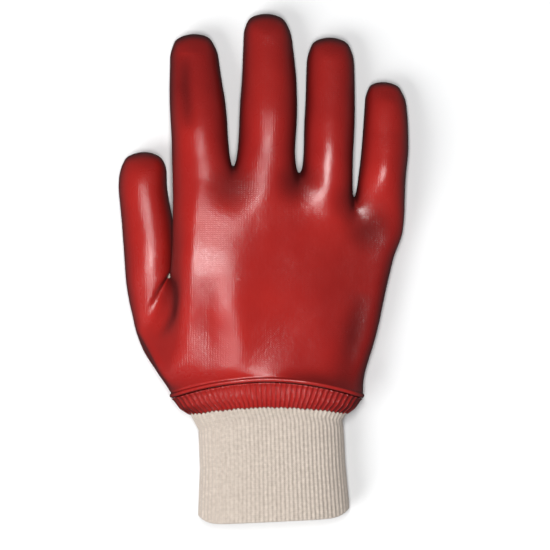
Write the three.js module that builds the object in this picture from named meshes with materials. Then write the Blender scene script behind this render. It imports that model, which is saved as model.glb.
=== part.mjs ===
// A dipped work glove for the right hand, lying palm down on a table. A hollow hand of cotton
// liner and coating, with four fingers and a thumb, carries a ribbed knit wrist. The top of the
// knit is dipped with the hand, so a ribbed band of coating wraps it below the hand's hem.
// Millimetres: x runs across the hand away from the thumb, y towards the fingertips, and z up
// from the table. The finished glove is centred over its own bounding box.

import * as THREE from "three";

// The coated hand: liner and coating together make one wall.
const WALL = 1.5;
const PALM_LENGTH = 120.2; // side of the hem up to the fork of the index and middle fingers
const PALM_WIDTH = 124; // across the knuckles
const PALM_HEIGHT = 40; // back of the hand over the table, at its highest
const HEM_WIDTH = 101.5;
const HEM_HEIGHT = 34;
const HEM_ARCH_BACK = 8.7; // how far the hem climbs at the middle of the back
const HEM_ARCH_FRONT = 3.5;

// The seam below the hem shows as a raised welt under the coating.
const WELT_PROUD = 0.8;
const WELT_DROP = 2.6;

// The middle finger is the longest and thickest one, measured from its forks.
const FINGER_LENGTH = 82.4;
const FINGER_WIDTH = 30.6;
const FINGER_THICK = 27;
const FINGER_RISE = 9.5; // gap between the index finger's root and the table
// The fingers, from the index to the little one. root and tip are the places of the middle line
// and bow its sideways bulge, as shares of the palm's width from the hem's middle. long, wide and
// thick are shares of the middle finger's sizes, taper the share of the width lost towards the
// tip, and rise a share of the index finger's.
const FINGERS = [
  { root: -0.279, tip: -0.321, bow: 0.0015, long: 0.854, wide: 0.987, thick: 0.963, taper: 0.14, rise: 1 },
  { root: -0.009, tip: -0.004, bow: 0.015, long: 1, wide: 1, thick: 1, taper: 0.14, rise: 0.84 },
  { root: 0.254, tip: 0.271, bow: 0.006, long: 0.942, wide: 0.868, thick: 0.945, taper: 0.04, rise: 0.72 },
  { root: 0.48, tip: 0.502, bow: 0.015, long: 0.739, wide: 0.822, thick: 0.852, taper: 0.12, rise: 0.45 },
];
const FORKS = [1, 0.978, 0.868]; // heights of the webs between the fingers, as shares of the palm's
const FORK_DIP = 2.4; // how deep the dimples beside a web are, on the back and the front
const FORK_LENGTH = 9; // how far a web reaches down the back from its edge
const KNUCKLE_DROP = 14; // height of a web's edge over the knuckle beside it
const SIDE_DROP = 17; // the same for the two outer sides of the hand

// Sections of a finger: along is a share of its length, slim of its taper, deep of its thickness
// and drop of the rise under its root.
const FINGER_ROWS = [
  { along: 0.12, slim: 0, deep: 1, drop: 0.92 },
  { along: 0.35, slim: 0.1, deep: 1, drop: 0.62 },
  { along: 0.58, slim: 0.4, deep: 0.91, drop: 0.28 },
  { along: 0.78, slim: 1, deep: 0.8, drop: 0 },
];
// The rounded end of a finger or thumb: back is a share of its last width, round a factor on that
// width, deep a factor on the last thickness, and lift the height of the middle as its share.
const TIP_ROWS = [
  { back: 0.36, round: 0.93, deep: 0.86, lift: 0.445 },
  { back: 0.13, round: 0.72, deep: 0.6, lift: 0.4 },
];
const TIP_LIFT = 0.36; // height of the very end, as a share of the last thickness

// The thumb lies beside the palm, a little lower, and bends up out of its side.
const THUMB_LENGTH = 80.9; // from the highest of the palm's sections that it grows out of
const THUMB_WIDTH = 26;
const THUMB_THICK = 24;
const THUMB_RISE = 5;
const THUMB_END = -0.608; // place of the thumb's end across the hand, counted as below
// Sections of the thumb, fanned round its web: outer and inner are the places of its two edges
// across the hand, as shares of its width from the palm's edge. low and high are the heights of
// those edges as shares of its length, deep is a share of its thickness and drop of its rise.
const THUMB_ROWS = [
  { outer: -0.648, low: -0.286, inner: -0.03, high: 0.215, deep: 1.04, drop: 0.55 },
  { outer: -0.808, low: -0.114, inner: 0.01, high: 0.24, deep: 1.04, drop: 0.5 },
  { outer: -0.923, low: 0.056, inner: 0.03, high: 0.285, deep: 1.05, drop: 0.4 },
  { outer: -0.992, low: 0.265, inner: 0.03, high: 0.37, deep: 1.04, drop: 0.26 },
  { outer: -1.046, low: 0.519, inner: -0.008, high: 0.545, deep: 1.01, drop: 0.08 },
  { outer: -1.112, low: 0.756, inner: -0.124, high: 0.756, deep: 0.94, drop: 0 },
];

// Sections of the palm above the hem: up is a share of the palm's length, left and right of its
// width from the hem's middle, mid, half and roll of its height. roll lifts the thumb's side,
// crest is the place of the back's highest line as a share of the half width, and web lifts the
// thumb's edge by a share of the palm's length.
const PALM_ROWS = [
  { up: 0.102, left: 0.477, right: 0.418, mid: 0.455, half: 0.45, roll: 0.025, crest: -0.3, web: 0 },
  { up: 0.243, left: 0.436, right: 0.454, mid: 0.475, half: 0.475, roll: 0.05, crest: -0.4, web: 0.03 },
  { up: 0.392, left: 0.414, right: 0.484, mid: 0.51, half: 0.475, roll: 0.09, crest: -0.45, web: 0.125 },
  { up: 0.562, left: 0.405, right: 0.514, mid: 0.55, half: 0.44, roll: 0.15, crest: -0.45, web: 0.05 },
  { up: 0.722, left: 0.403, right: 0.55, mid: 0.545, half: 0.4, roll: 0.16, crest: -0.4, web: 0 },
];
const THUMB_SECTIONS = 3; // the thumb grows out between the first this many of them
const PALM_SLANT = 0.14; // how much lower these sections lie on the little finger's side
const KNUCKLE_ROW = { mid: 0.54, half: 0.365, roll: 0.14, crest: -0.3 };
const PALM_POWER = 2.5; // roundness of the palm's sections: 2 is an ellipse, more is boxier
const BACK_POWER = 1.45; // the same for the back above the hem
const CORNER = 0.73; // roundness of the fingers' sections: 0.71 is an ellipse, more is boxier

// Dents in the coated hand: across is the place of a dent's middle as a share of the palm's width
// from the hem's middle, up of its length over the hem, reach of its width and deep of the
// deepest dent.
const DENT_DEPTH = 3;
const DENTS = [
  { back: true, across: 0.43, up: 0.76, reach: 0.13, deep: 0.6 },
  { back: true, across: -0.145, up: 0.915, reach: 0.14, deep: 0.6 },
  { back: true, across: 0.141, up: 0.93, reach: 0.12, deep: 0.5 },
  { back: true, across: 0.36, up: 0.84, reach: 0.12, deep: 0.45 },
  { back: true, across: -0.25, up: 0.22, reach: 0.16, deep: 0.35 },
  { back: true, across: 0.33, up: 0.2, reach: 0.2, deep: 0.4 },
  { back: false, across: 0.05, up: 0.5, reach: 0.3, deep: 1 },
  { back: false, across: -0.26, up: 0.42, reach: 0.17, deep: 0.8 },
  { back: false, across: 0.28, up: 0.78, reach: 0.22, deep: 0.6 },
];

// The knit wrist, a folded double tube of rib that is dipped at its top.
const KNIT_WALL = 2.2;
const KNIT_LENGTH = 66.9; // side of the hem down to the mouth
const KNIT_WIDTH = 78;
const KNIT_HEIGHT = 27;
const RIB_COUNT = 80;
const RIB_RELIEF = 0.5;
const MOUTH_TILT = 1.9; // the mouth runs askew by this much at each side
const MOUTH_CORNER = 4.5; // rounding of the mouth at its two sides

// The dipped band: a skin of coating over the top of the knit.
const SKIN = 0.9;
const BAND_SHARE = 0.185; // how far down the knit the coating reaches at its middle
const BAND_NARROWS = 0.05; // how much less far it reaches at the two sides
const TOOTH = 0.4; // the coating's lower edge steps up and down by this much along the ribs
const CLEARANCE = 0.3; // gap between neighbouring pieces

// Sections of the knit: down is a share of the way from the hem to the mouth, and aside a share
// of the width that the section stands off the hem's middle. wide and high go from 0 at the
// knit's own width and height to 1 at the hem's. base is a share of the height between the
// section's lowest point and the table, and a base under the table is pressed flat by it.
const KNIT_ROWS = [
  { down: 0, aside: 0, wide: 0.847, high: 0.6, base: 0.068 },
  { down: 0.09, aside: 0.004, wide: 0.515, high: 0.41, base: 0.063 },
  { down: 0.14, aside: 0.01, wide: 0.183, high: 0.27, base: 0.062 },
  { down: 0.2, aside: 0.008, wide: 0, high: 0.08, base: 0.058 },
  { down: 0.27, aside: 0.027, wide: -0.06, high: 0.12, base: -0.04 },
  { down: 0.6, aside: 0.038, wide: -0.05, high: -0.03, base: -0.04 },
  { down: 1, aside: 0.046, wide: 0.083, high: 0.08, base: -0.04 },
];
const KNIT_POWER = 2.3;

// Height of a superellipse over its middle line at the share u of its half width.
const arch = (u, power) => (1 - Math.min(1, Math.abs(u)) ** power) ** (1 / power);

// Height of the hem over its two sides, at the share u of its half width.
const hemHeight = (u, onBack) => (onBack ? HEM_ARCH_BACK : HEM_ARCH_FRONT) * (1 - u * u);

// A cage of named vertices and four-sided faces.
class Cage {
  constructor() {
    this.points = [];
    this.quads = [];
    this.ids = new Map();
  }
  set(name, x, y, z) {
    this.ids.set(name, this.points.length);
    this.points.push(new THREE.Vector3(x, y, z));
  }
  get(name) {
    return this.points[this.ids.get(name)];
  }
  // A strip of quads between two closed rings of names, the second ring on the far side.
  strip(near, far) {
    near.forEach((name, i) => {
      const j = (i + 1) % near.length;
      this.quads.push([name, near[j], far[j], far[i]].map((n) => this.ids.get(n)));
    });
  }
  // Closes a ring of eight with four quads round one vertex.
  cap(ring, centre) {
    for (let i = 0; i < ring.length; i += 2) {
      const names = [ring[i], ring[i + 1], ring[(i + 2) % ring.length], centre];
      this.quads.push(names.map((n) => this.ids.get(n)));
    }
  }
}

// The columns of the palm's sections, from the thumb's side across the back to the other side:
// the middle of each finger, the webs between them and one column near each side. Each is a
// share of the knuckles' width, so that the fingers grow straight out of the palm.
function palmColumns() {
  const edge = (f, side) => f.root * PALM_WIDTH + (side * f.wide * FINGER_WIDTH) / 2;
  const first = FINGERS[0];
  const last = FINGERS[FINGERS.length - 1];
  const left = edge(first, -1);
  const right = edge(last, 1);
  const places = [left + first.wide * FINGER_WIDTH * 0.16];
  FINGERS.forEach((finger, i) => {
    places.push(finger.root * PALM_WIDTH);
    const next = FINGERS[i + 1];
    if (next) places.push((edge(finger, 1) + edge(next, -1)) / 2);
  });
  places.push(right - last.wide * FINGER_WIDTH * 0.16);
  return { left, right, shares: places.map((x) => (x - left) / (right - left)) };
}

// Height of a web between two fingers over the hem.
const forkHeight = (i) => FORKS[Math.max(0, Math.min(FORKS.length - 1, i))] * PALM_LENGTH;

// One section of the palm as a ring of names: across the back, down the far side, back across
// the front and up the thumb's side.
function palmRing(row, columns) {
  const across = columns.map((_, i) => i);
  return [
    ...across.map((i) => `${row}back${i}`),
    `${row}right`,
    ...across.map((i) => `${row}front${i}`).reverse(),
    `${row}left`,
  ];
}

// Places the vertices of one palm section. height(u, onBack) gives each vertex its y.
function setPalmRow(cage, row, shares, { left, right, mid, half, roll, crest, height }) {
  const middle = (left + right) / 2;
  const halfWidth = (right - left) / 2;
  shares.forEach((share, i) => {
    const u = 2 * share - 1;
    const x = middle + u * halfWidth;
    const z = mid - u * roll;
    const power = crest ? BACK_POWER : PALM_POWER;
    const above = half * arch((u - crest) / (1 - crest * u), power);
    const below = half * arch(u, PALM_POWER);
    cage.set(`${row}back${i}`, x, height(u, true, i), z + above);
    cage.set(`${row}front${i}`, x, height(u, false, i), z - below);
  });
  cage.set(`${row}left`, left, height(-1, true, -1), mid + roll);
  cage.set(`${row}right`, right, height(1, true, shares.length), mid - roll);
}

// The eight corners of a round section, from its thumb-side top round over its top: a list of
// shares of the half width and the half thickness.
const OCTAGON = [
  [-CORNER, CORNER],
  [0, 1],
  [CORNER, CORNER],
  [1, 0],
  [CORNER, -CORNER],
  [0, -1],
  [-CORNER, -CORNER],
  [-1, 0],
];

// Places an eight-sided ring and returns its names. half runs from its middle to its right edge.
function setRing(cage, name, centre, half, halfThick) {
  return OCTAGON.map(([across, up], i) => {
    const point = centre.clone().addScaledVector(half, across);
    cage.set(`${name}.${i}`, point.x, point.y, point.z + up * halfThick);
    return `${name}.${i}`;
  });
}

// The rounded end beyond the last ring of a finger or thumb, up to its very end at the place tip.
function closeTip(cage, name, ring, centre, half, halfThick, tip) {
  const width = 2 * half.length();
  const reach = tip.y - centre.y;
  let last = ring;
  TIP_ROWS.forEach((row, k) => {
    const t = 1 - (row.back * width) / reach;
    const middle = centre.clone().lerp(tip, t).setZ(2 * halfThick * row.lift);
    const scaled = half.clone().multiplyScalar(row.round);
    const next = setRing(cage, `${name}.end${k}`, middle, scaled, halfThick * row.deep);
    cage.strip(last, next);
    last = next;
  });
  cage.set(`${name}.tip`, tip.x, tip.y, 2 * halfThick * TIP_LIFT);
  cage.cap(last, `${name}.tip`);
}

// The palm: the hem, the rows above it and the knuckles, with a hole left for the thumb.
function buildPalm(cage) {
  const { left, right, shares } = palmColumns();
  setPalmRow(cage, "row0", shares, {
    left: -HEM_WIDTH / 2,
    right: HEM_WIDTH / 2,
    mid: WELT_PROUD + HEM_HEIGHT / 2,
    half: HEM_HEIGHT / 2,
    roll: 0,
    crest: 0,
    height: hemHeight,
  });
  PALM_ROWS.forEach((row, i) => {
    const above = (1 - row.up) / 2;
    setPalmRow(cage, `row${i + 1}`, shares, {
      left: -row.left * PALM_WIDTH,
      right: row.right * PALM_WIDTH,
      mid: row.mid * PALM_HEIGHT,
      half: row.half * PALM_HEIGHT,
      roll: row.roll * PALM_HEIGHT,
      crest: row.crest,
      height: (u, onBack) =>
        row.up * PALM_LENGTH * (1 - (PALM_SLANT * (u + 1)) / 2) +
        row.web * PALM_LENGTH * Math.max(0, -u) ** 6 +
        above * hemHeight(u, onBack),
    });
  });
  const knuckleHeight = (u, onBack, column) => {
    if (column < 0) return forkHeight(0) - SIDE_DROP;
    if (column >= shares.length) return forkHeight(FORKS.length) - SIDE_DROP;
    const isFork = column > 0 && column % 2 === 0 && column < shares.length - 1;
    if (isFork) return forkHeight(column / 2 - 1) - FORK_LENGTH;
    const finger = Math.floor(Math.min(column, shares.length - 2) / 2);
    return (forkHeight(finger - 1) + forkHeight(finger)) / 2 - KNUCKLE_DROP;
  };
  const top = `row${PALM_ROWS.length + 1}`;
  setPalmRow(cage, top, shares, {
    left,
    right,
    mid: KNUCKLE_ROW.mid * PALM_HEIGHT,
    half: KNUCKLE_ROW.half * PALM_HEIGHT,
    roll: KNUCKLE_ROW.roll * PALM_HEIGHT,
    crest: KNUCKLE_ROW.crest,
    height: knuckleHeight,
  });
  FORKS.forEach((_, i) => {
    const back = cage.get(`${top}back${2 * i + 2}`);
    const front = cage.get(`${top}front${2 * i + 2}`);
    back.z -= FORK_DIP;
    front.z += FORK_DIP;
    cage.set(`fork${i}`, back.x, forkHeight(i), (back.z + front.z) / 2);
  });
  const rings = Array.from({ length: PALM_ROWS.length + 2 }, (_, i) => palmRing(`row${i}`, shares));
  const thumbSide = (name) => /left|back0|front0/.test(name);
  for (let i = 0; i + 1 < rings.length; i++) {
    const inHole = i > 0 && i < THUMB_SECTIONS;
    rings[i].forEach((name, j) => {
      const next = (j + 1) % rings[i].length;
      if (inHole && thumbSide(name) && thumbSide(rings[i][next])) return;
      const names = [name, rings[i][next], rings[i + 1][next], rings[i + 1][j]];
      cage.quads.push(names.map((n) => cage.ids.get(n)));
    });
  }
  return top;
}

// One finger: rings of eight along a gently bowed middle line, from the knuckles to the tip.
function buildFinger(cage, finger, i, top) {
  const last = FINGERS.length - 1;
  const near = i > 0 ? `fork${i - 1}` : `${top}left`;
  const far = i < last ? `fork${i}` : `${top}right`;
  const [a, b, c] = [2 * i, 2 * i + 1, 2 * i + 2];
  let ring = [`back${a}`, `back${b}`, `back${c}`, far, `front${c}`, `front${b}`, `front${a}`, near];
  ring = ring.map((name) => (/^(back|front)/.test(name) ? top + name : name));
  const start = (forkHeight(i - 1) + forkHeight(i)) / 2;
  const length = finger.long * FINGER_LENGTH;
  const across = (t) =>
    PALM_WIDTH * (finger.root + (finger.tip - finger.root) * t + finger.bow * 4 * t * (1 - t));
  const side = new THREE.Vector3(length, across(0) - across(1), 0).normalize();
  let centre;
  let half;
  let halfThick;
  FINGER_ROWS.forEach((row, k) => {
    const width = finger.wide * FINGER_WIDTH * (1 - finger.taper * row.slim);
    half = side.clone().multiplyScalar(width / 2);
    halfThick = (finger.thick * FINGER_THICK * row.deep) / 2;
    const z = halfThick + finger.rise * FINGER_RISE * row.drop;
    centre = new THREE.Vector3(across(row.along), start + row.along * length, z);
    const next = setRing(cage, `finger${i}.${k}`, centre, half, halfThick);
    cage.strip(ring, next);
    ring = next;
  });
  const tip = new THREE.Vector3(across(1), start + length, 0);
  closeTip(cage, `finger${i}`, ring, centre, half, halfThick, tip);
}

// The thumb: rings of eight from the hole in the palm's side to the tip.
function buildThumb(cage) {
  const [low, mid, high] = Array.from({ length: THUMB_SECTIONS }, (_, i) => `row${i + 1}`);
  const base = PALM_ROWS[THUMB_SECTIONS - 1].up * PALM_LENGTH;
  let ring = [
    `${low}back0`, `${mid}back0`, `${high}back0`, `${high}left`,
    `${high}front0`, `${mid}front0`, `${low}front0`, `${low}left`,
  ];
  const edge = palmColumns().left;
  const place = (aside, along) =>
    new THREE.Vector3(edge + aside * THUMB_WIDTH, base + along * THUMB_LENGTH, 0);
  let centre;
  let half;
  let halfThick;
  THUMB_ROWS.forEach((row, k) => {
    const outer = place(row.outer, row.low);
    const inner = place(row.inner, row.high);
    halfThick = (row.deep * THUMB_THICK) / 2;
    half = inner.clone().sub(outer).divideScalar(2);
    centre = outer.add(half).setZ(halfThick + row.drop * THUMB_RISE);
    const next = setRing(cage, `thumb.${k}`, centre, half, halfThick);
    cage.strip(ring, next);
    ring = next;
  });
  closeTip(cage, "thumb", ring, centre, half, halfThick, place(THUMB_END, 1));
}

// What surrounds each vertex of a mesh of quads: its edge neighbours, the corners across its
// faces, and on an open rim its two neighbours along the rim.
function neighbourhoods(count, quads) {
  const found = Array.from({ length: count }, () => ({ edges: new Set(), corners: [], rim: [] }));
  const seen = new Map();
  quads.forEach((quad) =>
    quad.forEach((v, i) => {
      const next = quad[(i + 1) % 4];
      found[v].edges.add(next);
      found[next].edges.add(v);
      found[v].corners.push(quad[(i + 2) % 4]);
      const key = Math.min(v, next) + "," + Math.max(v, next);
      seen.set(key, (seen.get(key) || 0) + 1);
    }),
  );
  for (const [key, times] of seen) {
    const [a, b] = key.split(",").map(Number);
    if (times === 1) {
      found[a].rim.push(b);
      found[b].rim.push(a);
    }
  }
  return found;
}

const sumOf = (points, ids) =>
  [...ids].reduce((sum, id) => sum.add(points[id]), new THREE.Vector3());

// Where each vertex of a Catmull-Clark surface comes to lie in the end.
function limitPoints(points, around) {
  return points.map((p, i) => {
    const { edges, corners, rim } = around[i];
    if (rim.length) return sumOf(points, rim).addScaledVector(p, 4).divideScalar(6);
    const n = edges.size;
    const sum = sumOf(points, edges).multiplyScalar(4).add(sumOf(points, corners));
    return sum.addScaledVector(p, n * n).divideScalar(n * (n + 5));
  });
}

// Moves the cage out until its Catmull-Clark surface passes through the places given.
function fitCage(points, quads) {
  const around = neighbourhoods(points.length, quads);
  const control = points.map((p) => p.clone());
  const rounds = 8;
  for (let k = 0; k < rounds; k++) {
    const limit = limitPoints(control, around);
    control.forEach((p, i) => p.add(points[i]).sub(limit[i]));
  }
  return control;
}

// One step of Catmull-Clark subdivision.
function subdivide(points, quads) {
  const around = neighbourhoods(points.length, quads);
  const facePoints = quads.map((quad) => sumOf(points, quad).divideScalar(4));
  const edges = new Map();
  quads.forEach((quad, f) =>
    quad.forEach((v, i) => {
      const next = quad[(i + 1) % 4];
      const key = Math.min(v, next) + "," + Math.max(v, next);
      if (!edges.has(key)) edges.set(key, { ends: [v, next], faces: [] });
      edges.get(key).faces.push(f);
    }),
  );
  const faceSums = points.map(() => new THREE.Vector3());
  quads.forEach((quad, f) => quad.forEach((v) => faceSums[v].add(facePoints[f])));
  const moved = points.map((p, i) => {
    const { edges: near, rim } = around[i];
    if (rim.length) return sumOf(points, rim).addScaledVector(p, 6).divideScalar(8);
    const n = near.size;
    const sum = faceSums[i].divideScalar(n).add(sumOf(points, near).divideScalar(n));
    return sum.addScaledVector(p, n - 2).divideScalar(n);
  });
  quads.forEach((_, f) => moved.push(facePoints[f]));
  const edgeIds = new Map();
  for (const [key, { ends, faces }] of edges) {
    edgeIds.set(key, moved.length);
    const middle = sumOf(points, ends);
    if (faces.length === 1) moved.push(middle.divideScalar(2));
    else moved.push(middle.add(facePoints[faces[0]]).add(facePoints[faces[1]]).divideScalar(4));
  }
  const edgeId = (a, b) => edgeIds.get(Math.min(a, b) + "," + Math.max(a, b));
  const finer = [];
  quads.forEach((quad, f) =>
    quad.forEach((v, i) => {
      const [next, previous] = [quad[(i + 1) % 4], quad[(i + 3) % 4]];
      finer.push([v, edgeId(v, next), points.length + f, edgeId(previous, v)]);
    }),
  );
  return { points: moved, quads: finer };
}

// The outward normal at each vertex, from the faces round it.
function normalsOf(points, quads) {
  const normals = points.map(() => new THREE.Vector3());
  quads.forEach(([a, b, c, d]) => {
    const across = points[c].clone().sub(points[a]);
    const normal = across.cross(points[d].clone().sub(points[b]));
    [a, b, c, d].forEach((v) => normals[v].add(normal));
  });
  return normals.map((n) => n.normalize());
}

// A growing list of triangles over a list of points.
class Shell {
  constructor() {
    this.points = [];
    this.triangles = [];
  }
  add(points) {
    const first = this.points.length;
    this.points.push(...points);
    return points.map((_, i) => first + i);
  }
  quad(a, b, c, d) {
    const [p, q, r, s] = [a, b, c, d].map((i) => this.points[i]);
    if (p.distanceTo(r) < q.distanceTo(s)) this.triangles.push([a, b, c], [a, c, d]);
    else this.triangles.push([a, b, d], [b, c, d]);
  }
  // Joins two closed rings of ids. The far ring may hold a whole number of times fewer points.
  strip(near, far) {
    const ratio = near.length / far.length;
    near.forEach((id, i) => {
      const next = near[(i + 1) % near.length];
      const other = far[Math.round(i / ratio) % far.length];
      const otherNext = far[Math.round((i + 1) / ratio) % far.length];
      if (other === otherNext) this.triangles.push([id, next, other]);
      else this.quad(id, next, otherNext, other);
    });
  }
  mesh(name, material) {
    const geometry = new THREE.BufferGeometry();
    const places = this.points.flatMap((p) => [p.x, p.y, p.z]);
    geometry.setAttribute("position", new THREE.Float32BufferAttribute(places, 3));
    geometry.setIndex(this.triangles.flat());
    geometry.computeVertexNormals();
    const mesh = new THREE.Mesh(geometry, material);
    mesh.name = name;
    return mesh;
  }
}

// The rim of an open mesh as one ring of vertex ids, in the order that its faces turn.
function rimRing(quads) {
  const inner = new Set(quads.flatMap((q) => q.map((v, i) => `${v},${q[(i + 1) % 4]}`)));
  const after = new Map();
  quads.forEach((q) =>
    q.forEach((v, i) => {
      const next = q[(i + 1) % 4];
      if (!inner.has(`${next},${v}`)) after.set(v, next);
    }),
  );
  const ring = [after.keys().next().value];
  while (after.get(ring.at(-1)) !== ring[0]) ring.push(after.get(ring.at(-1)));
  return ring;
}

// The direction out of a ring in the section's plane, at each of its points.
function ringNormals(ring) {
  return ring.map((_, i) => {
    const before = ring[(i + ring.length - 1) % ring.length];
    const after = ring[(i + 1) % ring.length];
    return new THREE.Vector3(before.z - after.z, 0, after.x - before.x).normalize();
  });
}

// Presses the dents into the points of the hand.
function pressDents(points, normals) {
  points.forEach((p, i) => {
    const facing = normals[i].z;
    for (const dent of DENTS) {
      if (dent.back !== facing > 0) continue;
      const away = Math.hypot(p.x - dent.across * PALM_WIDTH, p.y - dent.up * PALM_LENGTH);
      const share = Math.max(0, 1 - (away / (dent.reach * PALM_WIDTH)) ** 2) ** 2;
      p.z -= dent.deep * DENT_DEPTH * share * facing;
    }
  });
}

// The hand: its outer surface, pressed flat where it lies on the table, and the wall inside it.
function coatedHand(material) {
  const cage = new Cage();
  const top = buildPalm(cage);
  FINGERS.forEach((finger, i) => buildFinger(cage, finger, i, top));
  buildThumb(cage);
  const used = [...new Set(cage.quads.flat())].sort((a, b) => a - b);
  const renumber = new Map(used.map((id, i) => [id, i]));
  const quads = cage.quads.map((quad) => quad.map((id) => renumber.get(id)));
  const control = fitCage(used.map((id) => cage.points[id]), quads);
  const fine = subdivide(control, quads);
  const outer = limitPoints(fine.points, neighbourhoods(fine.points.length, fine.quads));
  pressDents(outer, normalsOf(outer, fine.quads));
  outer.forEach((p) => p.setZ(Math.max(0, p.z)));
  const normals = normalsOf(outer, fine.quads);
  const rim = rimRing(fine.quads);
  const rimOut = ringNormals(rim.map((id) => outer[id]));
  rim.forEach((id, i) => normals[id].copy(rimOut[i]));
  const inner = outer.map((p, i) => p.clone().addScaledVector(normals[i], -WALL));

  const shell = new Shell();
  const outerIds = shell.add(outer);
  const innerIds = shell.add(inner);
  fine.quads.forEach(([a, b, c, d]) => {
    shell.quad(outerIds[a], outerIds[b], outerIds[c], outerIds[d]);
    shell.quad(innerIds[d], innerIds[c], innerIds[b], innerIds[a]);
  });
  // The welt under the hem, as rings of out and down offsets from the rim.
  const welt = [
    [WELT_PROUD, WELT_DROP * 0.25],
    [WELT_PROUD, WELT_DROP * 0.8],
    [0, WELT_DROP],
    [-WALL, WELT_DROP],
  ];
  let ring = rim.map((id) => outerIds[id]);
  welt.forEach(([out, down]) => {
    const next = shell.add(
      rim.map((id, i) => outer[id].clone().addScaledVector(rimOut[i], out).setY(outer[id].y - down)),
    );
    shell.strip(next, ring);
    ring = next;
  });
  shell.strip(rim.map((id) => innerIds[id]), ring);
  return shell.mesh("coated_hand", material);
}

// Interpolates the knit's table of sections.
function knitSection(down) {
  const after = Math.max(1, KNIT_ROWS.findIndex((row) => row.down >= down - 1e-9));
  const [low, high] = [KNIT_ROWS[after - 1], KNIT_ROWS[after]];
  const t = (down - low.down) / (high.down - low.down);
  const mix = (key) => low[key] + (high[key] - low[key]) * t;
  return {
    centre: mix("aside") * KNIT_WIDTH,
    halfWidth: (KNIT_WIDTH + mix("wide") * (HEM_WIDTH - KNIT_WIDTH)) / 2,
    halfHeight: (KNIT_HEIGHT + mix("high") * (HEM_HEIGHT - KNIT_HEIGHT)) / 2,
    base: mix("base") * KNIT_HEIGHT,
  };
}

const bend = (value) => Math.sign(value) * Math.abs(value) ** (2 / KNIT_POWER);

// Angles round the knit's section whose points lie evenly spaced along it.
function evenAngles(count) {
  const steps = 4000;
  const run = [0];
  for (let k = 1; k <= steps; k++) {
    const [a, b] = [k - 1, k].map((n) => (2 * Math.PI * n) / steps);
    const x = (bend(Math.cos(b)) - bend(Math.cos(a))) * KNIT_WIDTH;
    const z = (bend(Math.sin(b)) - bend(Math.sin(a))) * KNIT_HEIGHT;
    run.push(run[k - 1] + Math.hypot(x, z));
  }
  return Array.from({ length: count }, (_, i) => {
    const goal = (i / count) * run[steps];
    const k = Math.max(1, run.findIndex((length) => length >= goal));
    const share = k - 1 + (goal - run[k - 1]) / (run[k] - run[k - 1]);
    return (-2 * Math.PI * share) / steps;
  });
}

// A ring of points round the knit. out moves it off the knit's surface, ribs sets how much of the
// rib relief it has, count how many points it has, and narrows how much higher its sides lie.
function knitRing(down, out, ribs, count, { tooth = 0, offset = 0, narrows = 0 } = {}) {
  const flat = evenAngles(count).map((angle, i) => {
    const u = bend(Math.cos(angle));
    const peak = i % 2 ? 1 : -1;
    const depth = down - narrows * u * u - (peak * tooth) / KNIT_LENGTH;
    return { u, v: bend(Math.sin(angle)), peak, depth };
  });
  const ring = flat.map(({ u, v, depth }) => {
    const { centre, halfWidth, halfHeight, base } = knitSection(depth);
    return new THREE.Vector3(centre + u * halfWidth, 0, base + halfHeight * (1 + v));
  });
  const normals = ringNormals(ring);
  const top = (u, v) => hemHeight(u, v > 0) - WELT_DROP - CLEARANCE;
  const mouth = (u) => -KNIT_LENGTH + MOUTH_TILT * u + MOUTH_CORNER * Math.abs(u) ** 10;
  return ring.map((p, i) => {
    const { u, v, peak, depth } = flat[i];
    const rise = out + (ribs * peak * RIB_RELIEF) / 2;
    const moved = p.addScaledVector(normals[i], rise);
    const y = top(u, v) + (mouth(u) - top(u, v)) * depth + offset;
    return moved.set(moved.x, y, Math.max(out < 0 ? -out * 0.999 : 0, moved.z));
  });
}

const RIB_POINTS = 2 * RIB_COUNT;
const BAND_STEPS = [0, 0.5, 1];

// A ribbed ring round the dipped part of the knit, at a share of the band's height.
function bandRing(share, out, tooth) {
  return knitRing(BAND_SHARE * share, out, 1, RIB_POINTS, { tooth, narrows: BAND_NARROWS * share });
}

// The knit wrist: ribbed outside, plain inside, with a rounded fold at its mouth.
function knitCuff(material) {
  const shell = new Shell();
  const bare = KNIT_ROWS.filter(({ down }) => down > BAND_SHARE);
  const rings = [
    ...BAND_STEPS.map((share) => shell.add(bandRing(share, 0, 0))),
    ...bare.map(({ down }) => shell.add(knitRing(down, 0, 1, RIB_POINTS))),
  ];
  const below = { offset: -KNIT_WALL / 2 };
  const fold = shell.add(knitRing(1, -KNIT_WALL / 2, 0.5, RIB_POINTS, below));
  const stations = [1, 0.6, 0.27, 0.14, 0];
  const inside = stations.map((down) => shell.add(knitRing(down, -KNIT_WALL, 0, RIB_COUNT)));
  rings.slice(1).forEach((ring, i) => shell.strip(ring, rings[i]));
  shell.strip(fold, rings.at(-1));
  stripDown(shell, inside[0], fold);
  inside.slice(1).forEach((ring, i) => shell.strip(ring, inside[i]));
  shell.strip(rings[0], inside.at(-1));
  return shell.mesh("knit_cuff", material);
}

// Joins a ring to one with a whole number of times more points, facing the other way.
function stripDown(shell, few, many) {
  const first = shell.triangles.length;
  shell.strip(many, few);
  shell.triangles.slice(first).forEach((t) => t.reverse());
}

// The dipped band: a ribbed skin round the top of the knit, with a toothed lower edge.
function coatedRibBand(material) {
  const shell = new Shell();
  const ringsAt = (out) =>
    BAND_STEPS.map((share) => shell.add(bandRing(share, out, share === 1 ? TOOTH : 0)));
  const outside = ringsAt(CLEARANCE + SKIN);
  const inside = ringsAt(CLEARANCE);
  for (let i = 0; i + 1 < BAND_STEPS.length; i++) {
    shell.strip(outside[i + 1], outside[i]);
    shell.strip(inside[i], inside[i + 1]);
  }
  shell.strip(inside.at(-1), outside.at(-1));
  shell.strip(outside[0], inside[0]);
  return shell.mesh("coated_rib_band", material);
}

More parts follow.
